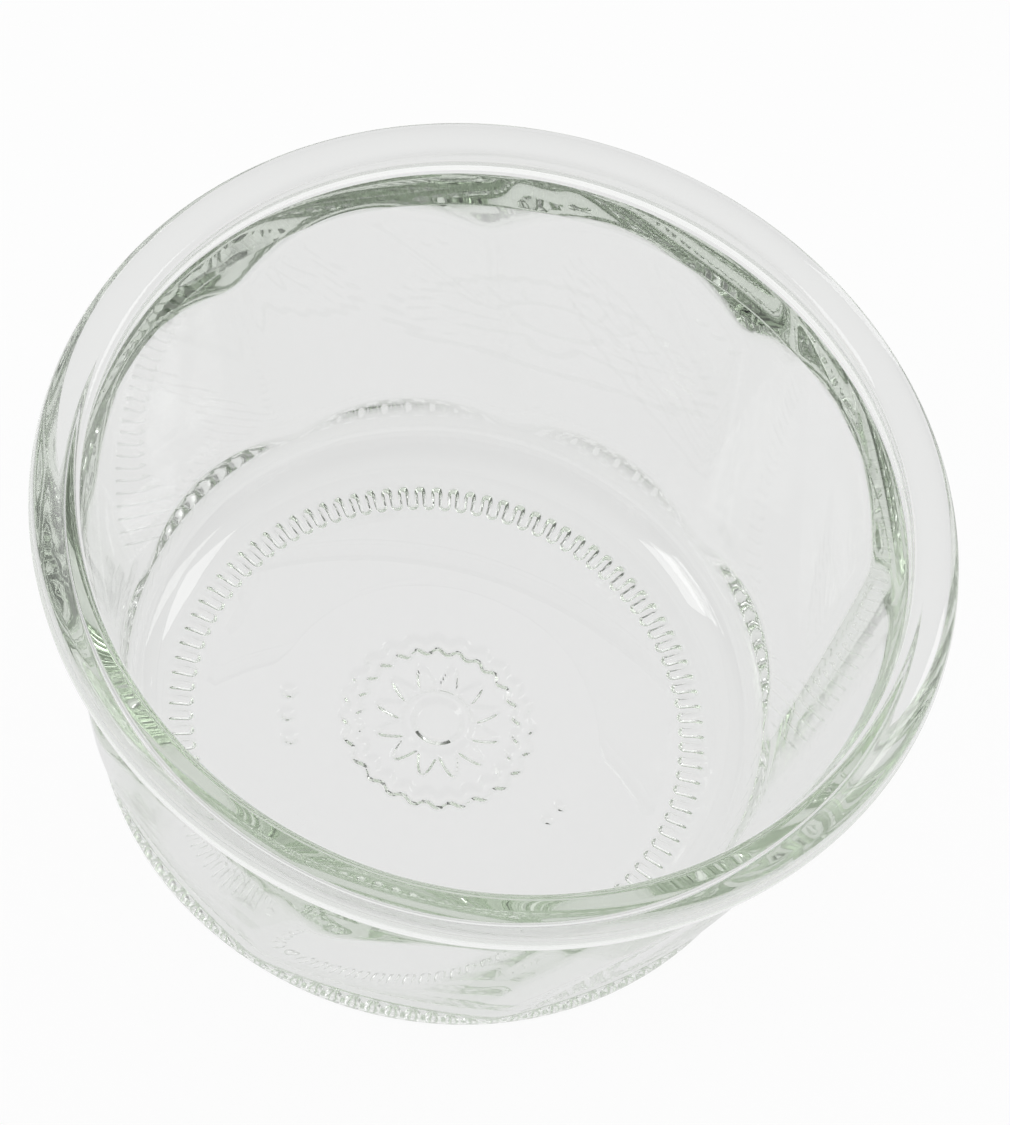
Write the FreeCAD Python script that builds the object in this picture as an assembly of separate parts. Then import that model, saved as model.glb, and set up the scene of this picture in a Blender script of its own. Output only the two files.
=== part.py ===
import FreeCAD, Part
import math
import os

from FreeCAD import Vector

# A low, wide preserving jar of clear glass, standing on its base, mouth up.
# Its outside is nine leaning panels between a round neck and a round heel. The inside is plain and round.
# Millimetres. Origin: centre of the circle the foot stands on. +Z: the jar's axis, towards the mouth.

# Rim and neck
jar_height = 55.0
rim_radius = 54.5          # widest circle of the rolled rim
rim_depth = 5.0            # height of the rim's bead
rim_top_round = 3.2        # the two rounds of the bead's outer side
rim_under_round = 1.8
rim_overhang = 3.9         # how far the bead stands out from the neck
neck_fillet = 0.8          # hollow between the bead and the neck
neck_wall = 1.8            # glass between the neck and the mouth
mouth_depth = 4.0          # upright stretch at the mouth
lip_round = 1.3
# Panels
panel_count = 9
panel_top_drop = 6.3       # from the bead down to the top of each panel's arch
panel_slope = 0.262        # how far a panel's middle moves in for each millimetre down
panel_arch_radius = 115.0  # a panel is slightly convex
panel_wall = 2.8           # glass behind a panel's middle at the floor
corner_round = 8.0         # between neighbouring panels
corner_azimuth = 9.5       # degrees, where the first corner would meet the table
corner_lean = 0.373        # degrees that the corners turn for each millimetre of height
# Heel
heel_round = 8.0
heel_lean = 11.6           # degrees that the heel's side flares out above its round
heel_side = 0.12           # straight stretch between the heel's round and the ledge's
ledge_fall = 45.0          # degrees, of the ledge between the panels and the heel
ledge_width = 3.5
ledge_round = 1.5
# Underside
bar_count = 96             # knurling that the jar stands on
bar_width = 1.15
bar_length = 3.3
bar_setback = 1.1          # from the bars' closed ends to where the heel starts to rise
bar_relief = 0.5
push_up = 1.5              # rise of the underside's middle above the table
push_up_margin = 1.6       # flat between the bars and the push-up
push_up_ramp = 9.0         # width of the slope at its edge
push_up_round = 12.0
# Inside
floor_thickness = 4.4
floor_round = 7.0

# Worked out from the sizes above
under_rim = jar_height - rim_depth
bead_fit = min(1, rim_depth / (rim_top_round + rim_under_round))   # both rounds shrink alike on a shallow bead
neck_radius = rim_radius - rim_overhang
mouth_radius = neck_radius - neck_wall
panel_top = under_rim - panel_top_drop
heel_run = heel_round * math.tan(math.radians(90 - heel_lean) / 2)
ledge_run = ledge_round * math.tan(math.radians(90 + heel_lean - ledge_fall) / 2)
side_length = heel_run + heel_side + ledge_run
heel_height = side_length * math.cos(math.radians(heel_lean))
heel_flare = side_length * math.sin(math.radians(heel_lean))


def polar(radius, degrees, z):
    angle = math.radians(degrees)
    return Vector(radius * math.cos(angle), radius * math.sin(angle), z)


def revolved(edges):
    """A solid of revolution about the jar's axis, from edges in the XZ plane."""
    face = Part.Face(Part.Wire(Part.__sortEdges__(edges)))
    return face.revolve(Vector(0, 0, 0), Vector(0, 0, 1), 360)


def rounded_profile(corners):
    """Edges of a closed outline in the XZ plane. Each corner is (x, z, fillet radius)."""
    count = len(corners)
    starts, ends, arcs = [], [], []
    for i, (x, z, radius) in enumerate(corners):
        corner = Vector(x, 0, z)
        before = Vector(corners[i - 1][0], 0, corners[i - 1][1]) - corner
        after = Vector(corners[(i + 1) % count][0], 0, corners[(i + 1) % count][1]) - corner
        before.normalize()
        after.normalize()
        if radius == 0:
            starts.append(corner)
            ends.append(corner)
            continue
        half = before.getAngle(after) / 2
        setback = radius / math.tan(half)
        start, end = corner + before * setback, corner + after * setback
        middle = (before + after).normalize() * (radius / math.sin(half) - radius)
        arcs.append(Part.Arc(start, corner + middle, end).toShape())
        starts.append(start)
        ends.append(end)
    runs = [(ends[i], starts[(i + 1) % count]) for i in range(count)]
    lines = [Part.makeLine(a, b) for a, b in runs if a.distanceToPoint(b) > 1e-6]
    return arcs + lines


def panel_apothem(z):
    """From the axis to a panel's middle."""
    return neck_radius - panel_slope * (panel_top - z)


def corner_centre(z):
    """From the axis to the centre of the small arc between two panels."""
    half = math.radians(180 / panel_count)
    behind = panel_arch_radius - panel_apothem(z)   # a panel arc's centre lies this far past the axis
    reach = panel_arch_radius - corner_round
    return math.sqrt(reach ** 2 - (behind * math.sin(half)) ** 2) - behind * math.cos(half)


heel_radius = corner_centre(heel_height) + corner_round   # the heel is as wide as the panels' corners
foot_cone_radius = heel_radius - heel_flare
bar_inner_radius = foot_cone_radius - heel_run - bar_setback - bar_length
push_up_radius = bar_inner_radius - push_up_margin


def foot():
    """The underside, the round heel and the ledge above it, as a full solid."""
    ledge_top = heel_height + ledge_width * math.tan(math.radians(ledge_fall))
    return revolved(rounded_profile([
        (0, push_up, 0),
        (push_up_radius - push_up_ramp, push_up, push_up_round),
        (push_up_radius, bar_relief, 0),
        (bar_inner_radius, bar_relief, 0),
        (bar_inner_radius, 0, 0),
        (foot_cone_radius, 0, heel_round),
        (heel_radius, heel_height, ledge_round),
        (heel_radius - ledge_width, ledge_top, 0),
        (0, ledge_top, 0),
    ]))


def panelled_outline(z):
    """The panels' closed ring at one height: long shallow arcs joined by small tangent ones."""
    apothem = panel_apothem(z)
    centre = corner_centre(z)
    step = 360 / panel_count
    half = math.radians(step / 2)
    behind = panel_arch_radius - apothem
    stretch = panel_arch_radius / (panel_arch_radius - corner_round)
    tangent_x = (centre * math.cos(half) + behind) * stretch - behind
    tangent_y = centre * math.sin(half) * stretch
    tangent_radius = math.hypot(tangent_x, tangent_y)
    tangent_angle = math.degrees(math.atan2(tangent_y, tangent_x))
    edges = []
    for i in range(panel_count):
        corner = corner_azimuth + corner_lean * z + i * step
        middle = corner + step / 2
        edges.append(Part.Arc(
            polar(tangent_radius, middle - step + tangent_angle, z),
            polar(centre + corner_round, corner, z),
            polar(tangent_radius, middle - tangent_angle, z),
        ).toShape())
        edges.append(Part.Arc(
            polar(tangent_radius, middle - tangent_angle, z),
            polar(apothem, middle, z),
            polar(tangent_radius, middle + tangent_angle, z),
        ).toShape())
    return Part.Wire(edges)


def wall():
    """The leaning panels, trimmed by the round neck into a row of arches, and the rolled rim above."""
    bottom = heel_height / 2
    top = (panel_top + under_rim - neck_fillet) / 2
    levels = 6
    rings = [panelled_outline(bottom + (top - bottom) * i / (levels - 1)) for i in range(levels)]
    panels = Part.makeLoft(rings, True, False)
    round_neck = Part.makeCylinder(neck_radius, top - bottom, Vector(0, 0, bottom))
    rim = revolved(rounded_profile([
        (0, top, 0),
        (neck_radius, top, 0),
        (neck_radius, under_rim, neck_fillet),
        (rim_radius, under_rim, rim_under_round * bead_fit),
        (rim_radius, jar_height, rim_top_round * bead_fit),
        (0, jar_height, 0),
    ]))
    return panels.common(round_neck).fuse(rim)


def knurl_gaps():
    """What is taken from the foot so that only the knurling's bars touch the table."""
    outer = bar_inner_radius + bar_length
    band = revolved(rounded_profile([
        (bar_inner_radius, -bar_relief, 0),
        (outer, -bar_relief, 0),
        (outer, bar_relief, 0),
        (bar_inner_radius, bar_relief, 0),
    ]))
    half = bar_width / 2
    inner = bar_inner_radius + half
    outline = Part.Wire([
        Part.makeLine(Vector(outer + 1, -half, 0), Vector(inner, -half, 0)),
        Part.Arc(Vector(inner, -half, 0), Vector(bar_inner_radius, 0, 0), Vector(inner, half, 0)).toShape(),
        Part.makeLine(Vector(inner, half, 0), Vector(outer + 1, half, 0)),
        Part.makeLine(Vector(outer + 1, half, 0), Vector(outer + 1, -half, 0)),
    ])
    bar = Part.Face(outline).extrude(Vector(0, 0, 4 * bar_relief))
    bar.translate(Vector(0, 0, -2 * bar_relief))
    bars = []
    for i in range(bar_count):
        turned = bar.copy()
        turned.rotate(Vector(0, 0, 0), Vector(0, 0, 1), 360 * i / bar_count)
        bars.append(turned)
    return band.cut(bars)


def cavity():
    """The inside as a solid: a rounded floor, a plain taper, and an upright mouth with a rolled lip."""
    mouth_foot = jar_height - mouth_depth
    lip_start = jar_height - lip_round
    lip_middle = lip_round * (1 - math.sqrt(0.5))
    cavity_foot_radius = panel_apothem(floor_thickness) - panel_wall
    outline = rounded_profile([
        (0, floor_thickness, 0),
        (cavity_foot_radius, floor_thickness, floor_round),
        (mouth_radius, mouth_foot, 0),
        (0, mouth_foot, 0),
    ])
    mouth = [
        Part.makeLine(Vector(0, 0, mouth_foot), Vector(mouth_radius, 0, mouth_foot)),
        Part.makeLine(Vector(mouth_radius, 0, mouth_foot), Vector(mouth_radius, 0, lip_start)),
        Part.Arc(
            Vector(mouth_radius, 0, lip_start),
            Vector(mouth_radius + lip_middle, 0, jar_height - lip_middle),
            Vector(mouth_radius + lip_round, 0, jar_height),
        ).toShape(),
        Part.makeLine(Vector(mouth_radius + lip_round, 0, jar_height), Vector(0, 0, jar_height)),
        Part.makeLine(Vector(0, 0, jar_height), Vector(0, 0, mouth_foot)),
    ]
    return revolved(outline).fuse(revolved(mouth))


os.makedirs("parts", exist_ok=True)
outside = foot().fuse(wall()).removeSplitter()
jar = outside.cut(knurl_gaps()).cut(cavity())
print("solids", len(jar.Solids), "valid", jar.isValid(), "volume", round(jar.Volume / 1000, 2), "cm3")
print("the mouth holds", round(cavity().Volume / 1000, 1), "ml to the brim")
jar.exportStep("parts/jar.step")
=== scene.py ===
# %% [markdown]
# # A low glass preserving jar
#
# The real thing is one piece of pressed glass: a thick rolled rim, a round neck, nine panels that lean
# round the wall, a round heel, and a ring of small bars underneath that it stands on. Glass has no
# paint to hide behind. All that is seen of it is light bent by its two surfaces, so nearly all the work
# of this lesson goes into the shape of one closed mesh, and only a little into its material.
#
# Everything is in metres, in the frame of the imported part, so nothing has to be fitted afterwards.

import math

import bmesh
import bpy
from mathutils import Matrix, Vector


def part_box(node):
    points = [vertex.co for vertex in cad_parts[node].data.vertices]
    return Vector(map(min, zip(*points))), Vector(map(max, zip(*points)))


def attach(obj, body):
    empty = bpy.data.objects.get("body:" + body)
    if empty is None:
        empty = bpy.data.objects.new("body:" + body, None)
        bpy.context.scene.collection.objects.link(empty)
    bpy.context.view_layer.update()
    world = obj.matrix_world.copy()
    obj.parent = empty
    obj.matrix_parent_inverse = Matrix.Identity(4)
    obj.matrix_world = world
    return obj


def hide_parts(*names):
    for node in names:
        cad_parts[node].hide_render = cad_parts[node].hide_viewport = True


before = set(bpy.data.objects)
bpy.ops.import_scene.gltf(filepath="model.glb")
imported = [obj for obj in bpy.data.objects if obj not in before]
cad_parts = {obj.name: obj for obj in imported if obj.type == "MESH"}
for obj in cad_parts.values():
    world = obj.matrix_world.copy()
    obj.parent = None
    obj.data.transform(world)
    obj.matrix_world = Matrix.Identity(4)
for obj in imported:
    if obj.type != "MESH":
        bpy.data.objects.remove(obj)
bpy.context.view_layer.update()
MM = 0.001
far_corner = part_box("jar")[1]
jar_height = far_corner.z
rim_radius = far_corner.x
print("jar", round(jar_height / MM, 2), "mm high,", round(2 * rim_radius / MM, 2), "mm across the rim")

# %% [markdown]
# ## The camera
#
# A camera could be placed by eye, but a jar's rim is a circle, and a circle that is seen at a slant
# says a lot: how flat its ellipse is gives the height of the view, and how the near and far halves
# differ gives the distance. Here the camera looks down at 59 degrees from 80 cm away, with a long
# lens, and is rolled by 17 degrees, so that the jar leans over in the frame. Two very small turns
# then shift the jar off the middle, as a hand-held camera would.

# %% Camera
def viewing_camera(target, distance, elevation, roll, pan, tilt, lens):
    """A camera that looks down at the target from in front, then rolls, pans and tilts, in degrees."""
    elevation, roll, pan, tilt = (math.radians(a) for a in (elevation, roll, pan, tilt))
    place = target + Vector((0, -distance * math.cos(elevation), distance * math.sin(elevation)))
    aim = (target - place).to_track_quat("-Z", "Y").to_matrix()
    turn = Matrix.Rotation(roll, 3, "Z") @ Matrix.Rotation(pan, 3, "Y") @ Matrix.Rotation(tilt, 3, "X")
    data = bpy.data.cameras.new("camera")
    data.sensor_fit = "VERTICAL"
    data.sensor_height = 36
    data.lens = lens
    data.clip_end = 20
    camera = bpy.data.objects.new("camera", data)
    bpy.context.scene.collection.objects.link(camera)
    camera.matrix_world = Matrix.Translation(place) @ (aim @ turn).to_4x4()
    return camera


drop_to_widest = 3 * MM          # from the top of the rim to its widest circle
widest_circle = Vector((0, 0, jar_height - drop_to_widest))
camera = viewing_camera(widest_circle, distance=0.8, elevation=59.4, roll=16.9,
                        pan=-0.06, tilt=-0.32, lens=220.8)
bpy.context.scene.camera = camera
print("camera at", [round(v, 3) for v in camera.location])

# %% [markdown]
# ## Floor and light
#
# Clear glass shows what is round it, and on an evenly white set it would vanish. A studio that shoots
# bottles therefore has a bright side and a dark side: every edge of the glass that bends the view
# towards the dark side draws a soft grey-green line. The sky here is such a set, a ramp that runs on
# a slant from near black, low down and in front, to white, high up behind the jar and to its left.
#
# The floor is matt and pale. Where the camera sees it, most of its colour is light of its own, so that
# the ground stays clean, and the rest is lit by the lamps, so that the jar drops a faint shadow. The
# ground shines white when it is seen directly and pale grey when it is seen in or through the glass,
# which sets the inside of the jar off from the bare ground round it. That grey glow is painted shade:
# it stands in for most of the jar's real shadow on the ground under it.

# %% Floor
def new_material(name):
    """An empty node material and its output node."""
    material = bpy.data.materials.new(name)
    material.use_nodes = True
    nodes = material.node_tree.nodes
    nodes.clear()
    return material, nodes, material.node_tree.links, nodes.new("ShaderNodeOutputMaterial")


def floor_material(grey, glow_direct, glow_through_glass, level_through_glass):
    """A matt floor. The two shares say how much of it glows, seen directly and seen in or through glass,
    and the level is how bright that glow is through glass, where 1 is white; below 1 that glow is
    painted shade for the jar's shadow under it."""
    material, nodes, links, output = new_material("pale_floor")
    matt = nodes.new("ShaderNodeBsdfDiffuse")
    matt.inputs["Color"].default_value = (grey, grey, grey, 1)
    glow = nodes.new("ShaderNodeEmission")
    path = nodes.new("ShaderNodeLightPath")
    direct = nodes.new("ShaderNodeMath")
    direct.operation = "MULTIPLY"
    direct.inputs[1].default_value = glow_direct
    links.new(path.outputs["Is Camera Ray"], direct.inputs[0])
    bent = nodes.new("ShaderNodeMath")
    bent.operation = "MAXIMUM"
    links.new(path.outputs["Is Transmission Ray"], bent.inputs[0])
    links.new(path.outputs["Is Glossy Ray"], bent.inputs[1])
    share = nodes.new("ShaderNodeMath")
    share.operation = "MULTIPLY_ADD"
    share.inputs[1].default_value = glow_through_glass
    links.new(bent.outputs[0], share.inputs[0])
    links.new(direct.outputs[0], share.inputs[2])
    level = nodes.new("ShaderNodeMath")
    level.operation = "MULTIPLY_ADD"
    level.inputs[1].default_value = level_through_glass - 1
    level.inputs[2].default_value = 1
    links.new(bent.outputs[0], level.inputs[0])
    links.new(level.outputs[0], glow.inputs["Strength"])
    mix = nodes.new("ShaderNodeMixShader")
    links.new(share.outputs[0], mix.inputs[0])
    links.new(matt.outputs[0], mix.inputs[1])
    links.new(glow.outputs[0], mix.inputs[2])
    links.new(mix.outputs[0], output.inputs["Surface"])
    return material


def flat_floor(half_width, gap):
    """A square just below the foot."""
    corners = [(-1, -1), (1, -1), (1, 1), (-1, 1)]
    mesh = bpy.data.meshes.new("floor")
    mesh.from_pydata([(x * half_width, y * half_width, -gap) for x, y in corners], [], [(0, 1, 2, 3)])
    floor = bpy.data.objects.new("floor", mesh)
    bpy.context.scene.collection.objects.link(floor)
    # seen in or through the glass the floor is mostly a grey glow at 0.83 of white: painted shade for
    # the jar's shadow under it
    pale = floor_material(grey=0.85, glow_direct=0.95, glow_through_glass=0.9, level_through_glass=0.83)
    mesh.materials.append(pale)
    return floor


floor = flat_floor(half_width=3, gap=0.02 * MM)
print("floor", [round(d, 2) for d in floor.dimensions], "m")

# %% Sky
def studio_sky(stops, towards):
    """A grey ramp from the dark side of the sky to the bright one. Each stop is (place, brightness).
    A direction's place on the ramp is how far it reaches towards the bright corner of the room."""
    world = bpy.data.worlds.new("studio")
    bpy.context.scene.world = world
    world.use_nodes = True
    nodes, links = world.node_tree.nodes, world.node_tree.links
    nodes.clear()
    direction = nodes.new("ShaderNodeTexCoord")
    blend = nodes.new("ShaderNodeVectorMath")
    blend.operation = "DOT_PRODUCT"
    blend.inputs[1].default_value = towards
    ramp = nodes.new("ShaderNodeValToRGB")
    background = nodes.new("ShaderNodeBackground")
    output = nodes.new("ShaderNodeOutputWorld")
    links.new(direction.outputs["Generated"], blend.inputs[0])
    links.new(blend.outputs["Value"], ramp.inputs[0])
    links.new(ramp.outputs["Color"], background.inputs["Color"])
    links.new(background.outputs[0], output.inputs["Surface"])
    elements = ramp.color_ramp.elements
    elements[0].position, elements[1].position = stops[0][0], stops[-1][0]
    for place, level in stops[1:-1]:
        elements.new(place)
    for element, (place, level) in zip(elements, stops):
        element.color = (level, level, level, 1)
    return world


bright_corner = (-0.2, 0.45, 0.75)
sky = studio_sky([(0.0, 0.1), (0.3, 0.3), (0.55, 0.65), (0.87, 1.0)], towards=bright_corner)
print("sky", sky.name)

# %% Lamps
def softbox(name, place, size, watts, target):
    """A rectangular lamp that faces the target."""
    data = bpy.data.lights.new(name, "AREA")
    data.shape = "RECTANGLE"
    data.size, data.size_y = size
    data.energy = watts
    lamp = bpy.data.objects.new(name, data)
    bpy.context.scene.collection.objects.link(lamp)
    lamp.location = place
    lamp.rotation_euler = (target - Vector(place)).to_track_quat("-Z", "Y").to_euler()
    return lamp


jar_middle = Vector((0, 0, jar_height / 2))
softbox("window_left", place=(-1.1, -0.5, 0.9), size=(0.5, 0.9), watts=4, target=jar_middle)
softbox("window_right", place=(1.0, 0.6, 1.0), size=(0.4, 0.8), watts=3, target=jar_middle)
print("two soft lamps")

# %% [markdown]
# ## The section through the wall
#
# Half of a section through the jar holds almost everything: the push-up under the base, the bearing
# ring, the heel, the neck, the rolled rim, the inside wall and the floor. It could be drawn as a long
# list of points. Instead only its corners are written, each with the radius of its rounding, as on a
# glassworks drawing, and a function lays the arcs. The section starts and ends on the jar's axis.

# %% Sizes of the section
rim_depth = 5.0 * MM             # of the bead
rim_overhang = 3.9 * MM          # how far the bead stands out from the neck
neck_wall = 1.8 * MM
neck_hollow = 0.5 * MM           # the neck draws in a little under the bead
hollow_start = 43 * MM
neck_start = 35 * MM             # the neck is upright from here to the hollow
neck_radius = rim_radius - rim_overhang
mouth_radius = neck_radius - neck_wall
mouth_depth = 4.0 * MM
floor_thickness = 4.4 * MM
under_rim = jar_height - rim_depth
heel_height = 6.8 * MM
heel_radius = 42.5 * MM
foot_radius = 41.0 * MM          # where the heel's side would meet the table
push_up = 1.5 * MM               # the middle of the underside stands this far above the table
push_up_flat = 19.6 * MM         # radius of its flat middle
push_up_edge = 28.6 * MM
bar_relief = 0.75 * MM           # the bearing bars stand this much proud
ring_inner = 29.6 * MM           # the knurled ring's edges
ring_outer = 34.4 * MM
cavity_foot = 37.5 * MM          # where the inside's slope would meet the floor

outside_corners = [
    (0, push_up, 0),
    (push_up_flat, push_up, 12 * MM),
    (push_up_edge, bar_relief, 1.0 * MM),
    (ring_inner, bar_relief, 0),
    (ring_outer, 0, 0),
    (foot_radius, 0, 8 * MM),
    (heel_radius, heel_height, 1.5 * MM),
    (neck_radius, neck_start, 6 * MM),
    (neck_radius, hollow_start, 6 * MM),
    (neck_radius - neck_hollow, under_rim, 0.6 * MM),
    (rim_radius, under_rim, 1.8 * MM),
    (rim_radius, jar_height, 3.2 * MM),
    (mouth_radius, jar_height, 1.3 * MM),
]
inside_corners = [
    (mouth_radius, jar_height - mouth_depth, 0.6 * MM),
    (cavity_foot, floor_thickness, 7 * MM),
    (0, floor_thickness, 0),
]
print(len(outside_corners) + len(inside_corners), "corners")

# %% Rounding the corners
def rounded(corners, arc_step):
    """The corners joined by straight runs and arcs, with a point for each arc_step radians of turn."""
    points = []
    for i, (x, z, radius) in enumerate(corners):
        corner = Vector((x, z))
        if radius == 0:
            points.append(corner)
            continue
        before = (Vector(corners[i - 1][:2]) - corner).normalized()
        after = (Vector(corners[i + 1][:2]) - corner).normalized()
        half = before.angle(after) / 2
        centre = corner + (before + after).normalized() * (radius / math.sin(half))
        start = corner + before * (radius / math.tan(half)) - centre
        turn = start.angle_signed(corner + after * (radius / math.tan(half)) - centre)
        steps = max(2, math.ceil(abs(turn) / arc_step))
        for k in range(steps + 1):
            points.append(centre + Matrix.Rotation(-turn * k / steps, 2) @ start)
    return points


def divided(points, longest):
    """The same line with its long runs divided. longest(a, b) is the longest piece from a to b."""
    line = [points[0]]
    for a, b in zip(points, points[1:]):
        pieces = math.ceil((b - a).length / longest(a, b) - 1e-6)
        line += [a.lerp(b, k / pieces) for k in range(1, pieces + 1)]
    return line


def row_height(a, b):
    """The widest row between two points. The underside's middle needs close rows for its emboss,
    the ring's gap is not divided at all, and the plain inside can do with wide rows."""
    if a.y < underside_height and b.x < emboss_outer:
        return emboss_row
    if abs(a.x - ring_inner) < 1e-9:
        return undivided
    past_inside = a.x - cavity_foot > (a.y - floor_thickness) * inside_slope
    outside = a.x > neck_radius or a.y < underside_height or past_inside
    return outside_row if outside else inside_row


underside_height = 2 * MM        # all of the underside lies below this, and the inside above it
emboss_outer = 24 * MM           # the emboss stays within this radius
emboss_row = 0.55 * MM
outside_row = 1.1 * MM
inside_row = 2.0 * MM
undivided = 1                    # a metre, longer than any run
inside_slope = 0.27              # a little more than the inside's own, to tell it from the outside
outline = rounded(outside_corners + inside_corners, arc_step=math.radians(9))
section = divided(outline, row_height)
level_with_top = 0.01 * MM
inside_start = max(i for i, p in enumerate(section) if p.y > jar_height - level_with_top)
print(len(section), "points in the section; the inside starts at point", inside_start)

# %% The section as a mesh of edges
def section_object(points, inside_start):
    """The section in the XZ plane. Its points carry 1 on the outside of the jar and 0 on the inside."""
    mesh = bpy.data.meshes.new("section")
    mesh.from_pydata([(p.x, 0, p.y) for p in points], [(i, i + 1) for i in range(len(points) - 1)], [])
    side = mesh.attributes.new("outside", "FLOAT", "POINT")
    side.data.foreach_set("value", [float(i < inside_start) for i in range(len(points))])
    made = bpy.data.objects.new("section", mesh)
    bpy.context.scene.collection.objects.link(made)
    return made


section_line = section_object(section, inside_start)
print("section drawn,", len(section_line.data.edges), "edges")

# %% [markdown]
# ## Writing a node tree as a formula
#
# The wall follows a rule, so it is made by Geometry Nodes: a grid is wrapped round the axis, each of
# its rows takes its radius and height from the section, and the panels are then cut by arithmetic.
# Arithmetic in nodes is wordy. This small class stands for one output of one node and knows how to be
# added, divided and so on, so a formula in the tree can be read as it would be on paper.

# %% Fields
class Field:
    """A value that varies over the mesh: one output of a node in a tree."""

    def __init__(self, tree, socket):
        self.tree = tree
        self.socket = socket

    def plug(self, target):
        self.tree.links.new(self.socket, target)

    def maths(self, operation, *others):
        return maths(self.tree, operation, self, *others)

    def __add__(self, other):
        return self.maths("ADD", other)

    def __sub__(self, other):
        return self.maths("SUBTRACT", other)

    def __mul__(self, other):
        return self.maths("MULTIPLY", other)

    def __truediv__(self, other):
        return self.maths("DIVIDE", other)


def feed(tree, socket, value):
    """Links a field or a socket, or sets a plain value."""
    if isinstance(value, Field):
        value.plug(socket)
    elif isinstance(value, bpy.types.NodeSocket):
        tree.links.new(value, socket)
    else:
        socket.default_value = value


def add_node(tree, kind, settings=None, **inputs):
    """A node with its settings, and its inputs fed by name, where an underscore stands for a space."""
    node = tree.nodes.new(kind)
    for name, value in (settings or {}).items():
        setattr(node, name, value)
    for name, value in inputs.items():
        feed(tree, node.inputs[name.replace("_", " ")], value)
    return node


def maths(tree, operation, *values):
    node = tree.nodes.new("ShaderNodeMath")
    node.operation = operation
    for place, value in enumerate(values):
        feed(tree, node.inputs[place], value)
    return Field(tree, node.outputs[0])


def new_tree(name, inputs):
    """A tree with a geometry input and output. inputs is {label: (socket kind, value)}."""
    tree = bpy.data.node_groups.new(name, "GeometryNodeTree")
    tree.interface.new_socket("Geometry", in_out="INPUT", socket_type="NodeSocketGeometry")
    for label, (kind, value) in inputs.items():
        socket = tree.interface.new_socket(label, in_out="INPUT", socket_type="NodeSocket" + kind)
        if value is not None:
            socket.default_value = value
    tree.interface.new_socket("Geometry", in_out="OUTPUT", socket_type="NodeSocketGeometry")
    entry = tree.nodes.new("NodeGroupInput")
    fields = {label: Field(tree, entry.outputs[label]) for label in inputs}
    return tree, entry.outputs["Geometry"], fields


def run_tree(tree, carrier, values):
    """Runs the tree on the carrier object, its inputs set by identifier, and returns the plain mesh."""
    modifier = carrier.modifiers.new(tree.name, "NODES")
    modifier.node_group = tree
    labels = {item.name: item.identifier for item in tree.interface.items_tree if item.in_out == "INPUT"}
    for label, value in values.items():
        modifier[labels[label]] = value
    graph = bpy.context.evaluated_depsgraph_get()
    graph.update()
    mesh = bpy.data.meshes.new_from_object(carrier.evaluated_get(graph))
    carrier.modifiers.remove(modifier)
    return mesh


print("tree helpers ready")

# %% [markdown]
# ## The panels as a formula
#
# At any height the wall's outline is a ring of nine shallow arcs. Seen from the jar's axis, a ray in a
# panel's middle is as long as the panel's distance there, and a ray nearer a corner meets the arc
# further out. Where two arcs meet, a smooth minimum rounds the corner. The panels lean because the
# angle is measured from a corner that moves round with the height. The same smooth minimum trims
# them by the round neck, which gives the row of arches.
#
# Below each panel the round heel shows as a crescent. A smooth maximum with a round band makes it. The
# band is nearly upright, and its slight flare matters more than its size. Looked at from above through
# the inside, a face that leans outwards by only one degree lets the ground show through it, while one
# that is upright or faces up reflects the dark side of the room and draws a black crescent.

# %% Panels
panel_inputs = {
    "Columns": ("Int", 288),
    "Panels": ("Int", 9),
    "Corner azimuth": ("Float", math.radians(9.5)),
    "Corner lean": ("Float", math.radians(0.373) / MM),
    "Panel top": ("Float", under_rim - 6.3 * MM),
    "Panel slope": ("Float", 0.247),
    "Panel arch radius": ("Float", 115 * MM),
    "Arch tightening": ("Float", 1.2),
    "Corner softness": ("Float", 1.0 * MM),
    "Neck softness": ("Float", 0.5 * MM),
    "Neck radius": ("Float", neck_radius),
    "Heel radius": ("Float", heel_radius),
    "Heel height": ("Float", heel_height),
    "Band flare": ("Float", 0.017),
    "Band softness": ("Float", 0.3 * MM),
    "Ripple": ("Float", 0.010 * MM),
    "Ripple size": ("Float", 14 * MM),
    "Ring inner": ("Float", ring_inner),
    "Ring outer": ("Float", ring_outer),
    "Glass": ("Material", None),
}


retreat = 4                      # above their tops the panels move out this steeply, clear of the neck


def arc_distance(apothem, arch_radius, angle):
    """How far a ray from the axis runs to a panel's arc, at an angle from the panel's middle."""
    behind = arch_radius - apothem
    sideways = behind * angle.maths("SINE")
    along = (arch_radius * arch_radius - sideways * sideways).maths("SQRT")
    return along - behind * angle.maths("COSINE")


def panelled_radius(size, radius, height, angle):
    """The outside's radius once the panels are cut: panels, then the band below, then the round neck."""
    step = size["Panels"].maths("POWER", -1) * math.tau
    from_corner = (angle - size["Corner azimuth"] - size["Corner lean"] * height) / step
    off_middle = ((from_corner.maths("FRACT") - 0.5) * step).maths("ABSOLUTE")
    above = (height - size["Panel top"]).maths("MAXIMUM", 0)
    below_top = size["Panel top"] - height
    apothem = size["Neck radius"] - size["Panel slope"] * below_top + above * retreat
    arch = size["Panel arch radius"] - size["Arch tightening"] * below_top
    own = arc_distance(apothem, arch, off_middle)
    neighbour = arc_distance(apothem, arch, step - off_middle)
    panels = own.maths("SMOOTH_MIN", neighbour, size["Corner softness"])
    band = size["Heel radius"] + size["Band flare"] * (height - size["Heel height"])
    cut = panels.maths("SMOOTH_MAX", band, size["Band softness"])
    return radius.maths("SMOOTH_MIN", cut, size["Neck softness"])


print(len(panel_inputs), "sizes in the jar's tree")

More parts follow.
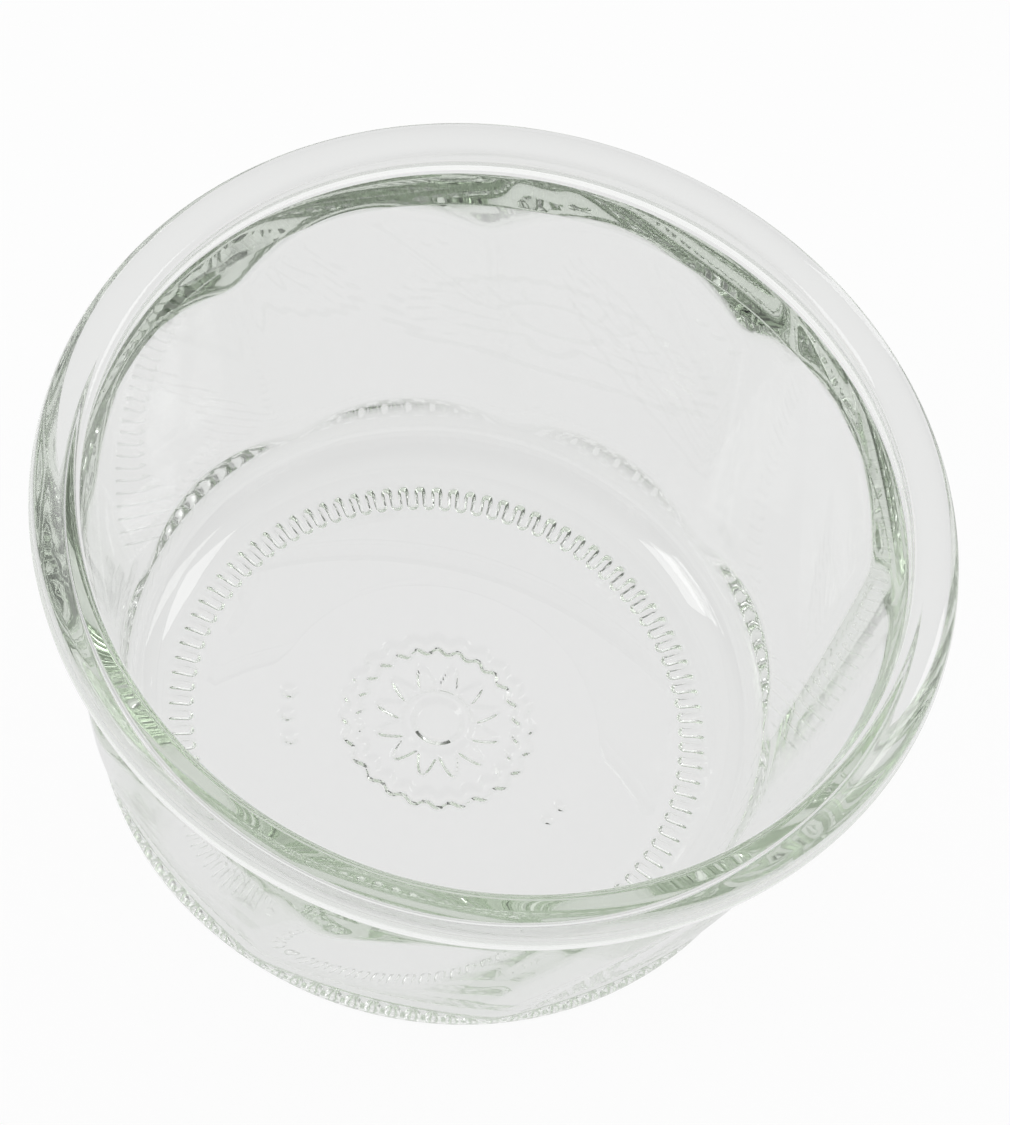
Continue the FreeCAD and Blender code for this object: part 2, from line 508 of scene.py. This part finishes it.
# %% The jar's tree
def polar_position(tree, radius, angle, height):
    node = add_node(tree, "ShaderNodeCombineXYZ")
    feed(tree, node.inputs["X"], radius * angle.maths("COSINE"))
    feed(tree, node.inputs["Y"], radius * angle.maths("SINE"))
    feed(tree, node.inputs["Z"], height)
    return node.outputs[0]


def sampled(tree, geometry, kind, value, index):
    node = add_node(tree, "GeometryNodeSampleIndex", {"data_type": kind, "domain": "POINT"})
    feed(tree, node.inputs["Geometry"], geometry)
    feed(tree, next(s for s in node.inputs if s.name == "Value" and s.enabled), value)
    feed(tree, node.inputs["Index"], index)
    return next(s for s in node.outputs if s.enabled)


nudge = 1e-4                     # lifts a quotient that falls just short of its whole number
foot_share = 0.3                 # below this share of the heel's height the wall stays as drawn
weld = 0.001 * MM


def jar_tree():
    """Wraps a grid round the axis, its rows the section's points, and cuts the panels into it."""
    tree, section, size = new_tree("pressed_jar", panel_inputs)
    count = add_node(tree, "GeometryNodeAttributeDomainSize", Geometry=section)
    rows = Field(tree, count.outputs["Point Count"])
    columns = size["Columns"]
    grid = add_node(tree, "GeometryNodeMeshGrid", Vertices_X=columns + 1, Vertices_Y=rows)
    index = Field(tree, add_node(tree, "GeometryNodeInputIndex").outputs[0])
    row = index.maths("FLOORED_MODULO", rows)
    angle = (index / rows + nudge).maths("FLOOR") / columns * math.tau
    position = add_node(tree, "GeometryNodeInputPosition").outputs[0]
    place = sampled(tree, section, "FLOAT_VECTOR", position, row)
    parts = add_node(tree, "ShaderNodeSeparateXYZ", Vector=place)
    radius, height = Field(tree, parts.outputs["X"]), Field(tree, parts.outputs["Z"])
    side = add_node(tree, "GeometryNodeInputNamedAttribute", {"data_type": "FLOAT"}, Name="outside")
    outside = Field(tree, sampled(tree, section, "FLOAT", side.outputs[0], row))
    above_foot = height.maths("GREATER_THAN", size["Heel height"] * foot_share) * outside
    cut = panelled_radius(size, radius, height, angle)
    final_radius = radius + (cut - radius) * above_foot
    wrapped = add_node(tree, "GeometryNodeSetPosition", Geometry=grid.outputs["Mesh"],
                       Position=polar_position(tree, final_radius, angle, height))
    closed = add_node(tree, "GeometryNodeMergeByDistance", Geometry=wrapped.outputs[0], Distance=weld)
    open_ring = add_node(tree, "GeometryNodeDeleteGeometry", {"domain": "FACE"},
                         Geometry=closed.outputs[0], Selection=ring_gap(tree, size).socket)
    finish_tree(tree, ripple(tree, size, open_ring.outputs[0]), size)
    return tree


def ring_gap(tree, size):
    """True on the one row of faces under the base where the knurled ring goes."""
    position = add_node(tree, "GeometryNodeInputPosition").outputs[0]
    parts = add_node(tree, "ShaderNodeSeparateXYZ", Vector=position)
    x, y, height = (Field(tree, parts.outputs[axis]) for axis in "XYZ")
    away = (x * x + y * y).maths("SQRT")
    past_inner = away.maths("GREATER_THAN", size["Ring inner"])
    between = past_inner * away.maths("LESS_THAN", size["Ring outer"])
    return between * height.maths("LESS_THAN", size["Heel height"] * foot_share)


ripple_stretch = (1, 1, 0.25)    # the ripples run up and down the wall
ripple_clear = 0.15              # no ripple below this share of the heel's height
ripple_onset = 4                 # and how quickly it comes in above that


def ripple(tree, size, geometry):
    """The faint unevenness of pressed glass: smooth noise moves each point along its normal."""
    position = add_node(tree, "GeometryNodeInputPosition").outputs[0]
    normal = add_node(tree, "GeometryNodeInputNormal").outputs[0]
    parts = add_node(tree, "ShaderNodeSeparateXYZ", Vector=position)
    height = Field(tree, parts.outputs["Z"])
    upright = add_node(tree, "ShaderNodeVectorMath", {"operation": "MULTIPLY"})
    feed(tree, upright.inputs[0], position)
    upright.inputs[1].default_value = ripple_stretch
    cloud = add_node(tree, "ShaderNodeTexNoise", {"noise_dimensions": "3D"}, Vector=upright.outputs[0])
    feed(tree, cloud.inputs["Scale"], size["Ripple size"].maths("POWER", -1))
    cloud.inputs["Detail"].default_value = 1
    level = Field(tree, cloud.outputs["Fac"]) - 0.5
    clear_of_foot = (height / size["Heel height"] - ripple_clear) * ripple_onset
    clear_of_foot.socket.node.use_clamp = True
    push = add_node(tree, "ShaderNodeVectorMath", {"operation": "SCALE"})
    feed(tree, push.inputs[0], normal)
    feed(tree, push.inputs["Scale"], level * size["Ripple"] * 2 * clear_of_foot)
    moved = add_node(tree, "GeometryNodeSetPosition", Geometry=geometry, Offset=push.outputs[0])
    return moved.outputs[0]


def finish_tree(tree, geometry, size):
    """Every tree ends in real, smooth, glass geometry."""
    smooth = add_node(tree, "GeometryNodeSetShadeSmooth", Geometry=geometry)
    real = add_node(tree, "GeometryNodeRealizeInstances", Geometry=smooth.outputs[0])
    glass = add_node(tree, "GeometryNodeSetMaterial", Geometry=real.outputs[0], Material=size["Glass"])
    leave = tree.nodes.new("NodeGroupOutput")
    tree.links.new(glass.outputs[0], leave.inputs["Geometry"])


print("jar's tree is written")

# %% [markdown]
# ## The knurled ring
#
# The jar stands on 96 little bars, like a coin's milled edge laid flat: they keep the hot glass off
# the belt while it cools, and they catch the light in a ring that shows right through the floor. They
# could be cut with booleans, but 96 cuts would leave a mesh full of slivers. Here one cell is
# modelled, a sliver of the ring that holds one bar with a rounded inner end, and a second tree sets
# 96 of it round the axis. The cell is fine inside and has only four points along each of its two
# rims, exactly where the jar's own columns end, so that merging the points closes the glass.

# %% One bar's cell
bar_count = 96
bar_width = 1.15 * MM
bar_inner = 30.1 * MM
bar_fade = (31.8 * MM, 33.9 * MM)    # where the gaps between the bars run out into the heel
flank_inside = 0.34 * MM             # a bar's flank starts this far inside its nominal edge
flank_outside = 0.26 * MM
cell_columns = 12
cell_rim_columns = 3


def soft_step(value, start, end):
    """Rises smoothly from 0 to 1 between the start and the end."""
    t = min(max((value - start) / (end - start), 0), 1)
    return t * t * (3 - 2 * t)


def bar_height(radius, sideways):
    """A point's height above the table. sideways is measured from the bar's middle line."""
    inner_centre = bar_inner + bar_width / 2
    off_line = math.hypot(min(radius - inner_centre, 0), sideways)
    groove = soft_step(off_line, bar_width / 2 - flank_inside, bar_width / 2 + flank_outside)
    return bar_relief * groove * (1 - soft_step(radius, *bar_fade))


def bar_cell(radii):
    """A sliver of the ring from its inner to its outer rim, one bar wide, as an object."""
    pitch = math.tau / bar_count
    mesh = bmesh.new()

    def row_of_points(radius, columns, height):
        points = []
        for k in range(columns + 1):
            angle = pitch * k / columns
            z = height if height is not None else bar_height(radius, radius * (angle - pitch / 2))
            points.append(mesh.verts.new((radius * math.cos(angle), radius * math.sin(angle), z)))
        return points

    inner = row_of_points(ring_inner, cell_rim_columns, bar_relief)
    rows = [row_of_points(radius, cell_columns, None) for radius in radii]
    outer = row_of_points(ring_outer, cell_rim_columns, 0)
    for near, far in zip(rows, rows[1:]):
        for k in range(cell_columns):
            mesh.faces.new((near[k], near[k + 1], far[k + 1], far[k]))
    fine = cell_columns // cell_rim_columns
    for k in range(cell_rim_columns):
        fan(mesh, inner[k], inner[k + 1], rows[0][fine * k:fine * (k + 1) + 1], True)
        fan(mesh, outer[k], outer[k + 1], rows[-1][fine * k:fine * (k + 1) + 1], False)
    data = bpy.data.meshes.new("bar_cell")
    mesh.to_mesh(data)
    mesh.free()
    cell = bpy.data.objects.new("bar_cell", data)
    bpy.context.scene.collection.objects.link(cell)
    return cell


def fan(mesh, first, last, line, line_is_outside):
    """Triangles between one long edge and a line of short ones."""
    middle = len(line) // 2
    triangles = [(first, a, b) for a, b in zip(line[:middle], line[1:middle + 1])]
    triangles += [(first, line[middle], last)]
    triangles += [(last, a, b) for a, b in zip(line[middle:], line[middle + 1:])]
    for a, b, c in triangles:
        mesh.faces.new((a, c, b) if line_is_outside else (a, b, c))


rounded_end = (29.8, 30.1, 30.25, 30.4, 30.6, 30.85)   # close rows round the bar's end
straight_part = (31.3, 31.9, 32.5, 33.0, 33.4, 33.8, 34.1)
cell = bar_cell([radius * MM for radius in rounded_end + straight_part])
print("one cell of", len(cell.data.polygons), "faces")

# %% The ring's tree
def ring_tree():
    """Adds the ring of cells to the jar and merges the two."""
    inputs = {
        "Cell": ("Object", None),
        "Bars": ("Int", bar_count),
        "Merge": ("Float", 2 * weld),
        "Glass": ("Material", None),
    }
    tree, jar, size = new_tree("knurled_ring", inputs)
    places = add_node(tree, "GeometryNodePoints", Count=size["Bars"])
    info = add_node(tree, "GeometryNodeObjectInfo", Object=size["Cell"])
    index = Field(tree, add_node(tree, "GeometryNodeInputIndex").outputs[0])
    turn = add_node(tree, "ShaderNodeCombineXYZ", Z=index / size["Bars"] * math.tau)
    set_round = add_node(tree, "GeometryNodeInstanceOnPoints", Points=places.outputs[0],
                         Instance=info.outputs["Geometry"], Rotation=turn.outputs[0])
    cells = add_node(tree, "GeometryNodeRealizeInstances", Geometry=set_round.outputs[0])
    both = tree.nodes.new("GeometryNodeJoinGeometry")
    tree.links.new(cells.outputs[0], both.inputs[0])
    tree.links.new(jar, both.inputs[0])
    closed = add_node(tree, "GeometryNodeMergeByDistance",
                      Geometry=both.outputs[0], Distance=size["Merge"])
    finish_tree(tree, closed.outputs[0], size)
    return tree


print("ring's tree is written")

# %% [markdown]
# ## The emboss under the base
#
# A glassworks presses its marks into the underside: here a plain rosette in the middle and a few
# dots beside it, raised by about half a millimetre. They are added last, straight on the points of
# the mesh, because a relief that is a height over a flat place needs nothing more than a formula.

# %% Emboss
rosette_relief = 0.6 * MM
petal_count = 12
petal_edge = 0.4 * MM            # half the width of the slope at a petal's end
petal_share = 0.8                # of the relief
dot_relief = 0.45 * MM
dot_circle = 18.5 * MM           # the dots' distance from the axis
left_dots = [(186, 1.2), (196, 1.2), (206, 1.2)]   # (degrees round the axis, radius in millimetres)
right_dots = [(332, 0.8), (340, 0.8)]


def rosette_height(radius, angle):
    """A button, a ring of petals and a scalloped rim, as a height over the underside."""
    button = 1 - soft_step(radius, 2.6 * MM, 3.4 * MM)
    petal_reach = (6.3 + 1.3 * math.cos(petal_count * angle)) * MM
    petal_ends = 1 - soft_step(radius, petal_reach - petal_edge, petal_reach + petal_edge)
    petals = soft_step(radius, 3.9 * MM, 4.6 * MM) * petal_ends
    rim_middle = (10.6 + 0.35 * math.cos(2 * petal_count * angle)) * MM
    rim = 1 - soft_step(abs(radius - rim_middle), 0.5 * MM, 1.3 * MM)
    return rosette_relief * max(button, petals * petal_share, rim)


def dots_height(x, y):
    """Three dots to the left of the rosette and two small ones to the right."""
    height = 0
    for turn, size in left_dots + right_dots:
        place = Matrix.Rotation(math.radians(turn), 2) @ Vector((dot_circle, 0))
        away = math.hypot(x - place.x, y - place.y)
        height = max(height, dot_relief * (1 - soft_step(away, 0.4 * size * MM, 1.0 * size * MM)))
    return height


def emboss(mesh):
    """Raises the rosette and the dots on the underside of the base."""
    moved = 0
    for vertex in mesh.vertices:
        x, y, z = vertex.co
        radius = math.hypot(x, y)
        if z > underside_height or radius > emboss_outer:
            continue
        height = max(rosette_height(radius, math.atan2(y, x)), dots_height(x, y))
        vertex.co.z -= height
        moved += height > 0
    return moved


print("emboss ready")

# %% [markdown]
# ## Glass
#
# Soda-lime glass bends light by 1.5 and is clear to the eye, with a faint green that only shows where
# the light has gone a long way through it: along the rim and in the corners of the heel. So the
# surface itself is colourless, and the green comes from absorption inside the body, which grows with
# the distance by itself. Fire-polished glass has no roughness, and the slight unevenness that the
# mould leaves is already in the mesh, so the surface needs no texture, which also keeps renders quick.

# %% Glass material
def glass_material():
    """Smooth colourless surfaces round a body that absorbs a little of all but green."""
    material, nodes, links, output = new_material("pale_green_glass")
    surface = nodes.new("ShaderNodeBsdfPrincipled")
    surface.inputs["Base Color"].default_value = (1, 1, 1, 1)
    surface.inputs["Transmission Weight"].default_value = 1
    surface.inputs["IOR"].default_value = 1.5
    surface.inputs["Roughness"].default_value = 0
    body = nodes.new("ShaderNodeVolumeAbsorption")
    body.inputs["Color"].default_value = (0.66, 0.74, 0.62, 1)
    body.inputs["Density"].default_value = 14
    links.new(surface.outputs[0], output.inputs["Surface"])
    links.new(body.outputs[0], output.inputs["Volume"])
    return material


light_bounces = 32               # light runs a long way round inside the rim before it leaves it
glass = glass_material()
print("glass:", len(glass.node_tree.nodes), "nodes")

# %% The finished jar
def as_object(name, mesh):
    made = bpy.data.objects.new(name, mesh)
    bpy.context.scene.collection.objects.link(made)
    return made


def report(mesh):
    """Counts the triangles and the open edges, and measures the glass."""
    check = bmesh.new()
    check.from_mesh(mesh)
    open_edges = sum(not edge.is_manifold for edge in check.edges)
    triangles = sum(len(face.verts) - 2 for face in check.faces)
    volume = check.calc_volume(signed=True)
    check.free()
    glass_volume = round(volume / (10 * MM) ** 3, 1)
    print(triangles, "triangles,", open_edges, "open edges,", glass_volume, "cm3 of glass")


body_mesh = run_tree(jar_tree(), section_line, {"Glass": glass})
jar_mesh = run_tree(ring_tree(), as_object("open_jar", body_mesh), {"Cell": cell, "Glass": glass})
print(emboss(jar_mesh), "points embossed")
jar = as_object("pressed_glass_jar", jar_mesh)
report(jar_mesh)

# %% Clearing the bench
for helper in (section_line, cell, bpy.data.objects["open_jar"]):
    bpy.data.objects.remove(helper)
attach(jar, "root")
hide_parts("jar")
bpy.context.scene.view_settings.view_transform = "Standard"
bpy.context.scene.cycles.max_bounces = light_bounces
bpy.context.scene.cycles.transmission_bounces = light_bounces
bpy.context.scene.cycles.glossy_bounces = light_bounces
